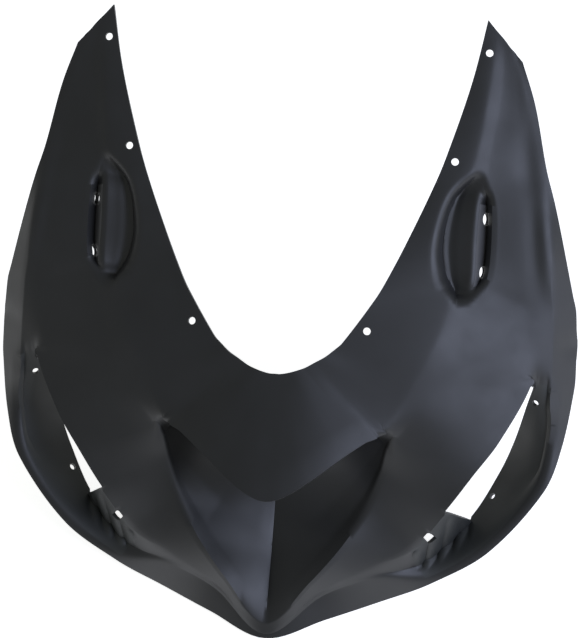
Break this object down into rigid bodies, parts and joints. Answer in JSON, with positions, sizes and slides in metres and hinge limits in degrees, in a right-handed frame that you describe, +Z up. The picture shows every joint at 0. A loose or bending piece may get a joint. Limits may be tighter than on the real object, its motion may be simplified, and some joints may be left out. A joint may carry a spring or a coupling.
{
  "type": "motorcycle fairing",
  "caption": "Unpainted moulded upper front fairing of a sport motorcycle, with a windscreen opening, mirror pockets, headlight openings and an air mouth in the nose.",
  "frame": {"origin": "middle of the shell's box, on its plane of symmetry", "axes": "+X to the right as seen from the motorcycle's front, -Y towards the nose, +Z up; the shell is raked 38 degrees, as it is fitted"},
  "size_m": [0.476, 0.3844, 0.3328],
  "materials": {
    "black_plastic": "satin moulded ABS, unpainted"
  },
  "bodies": {
    "root": {"fairing_shell": "black_plastic"}
  },
  "joints": []
}
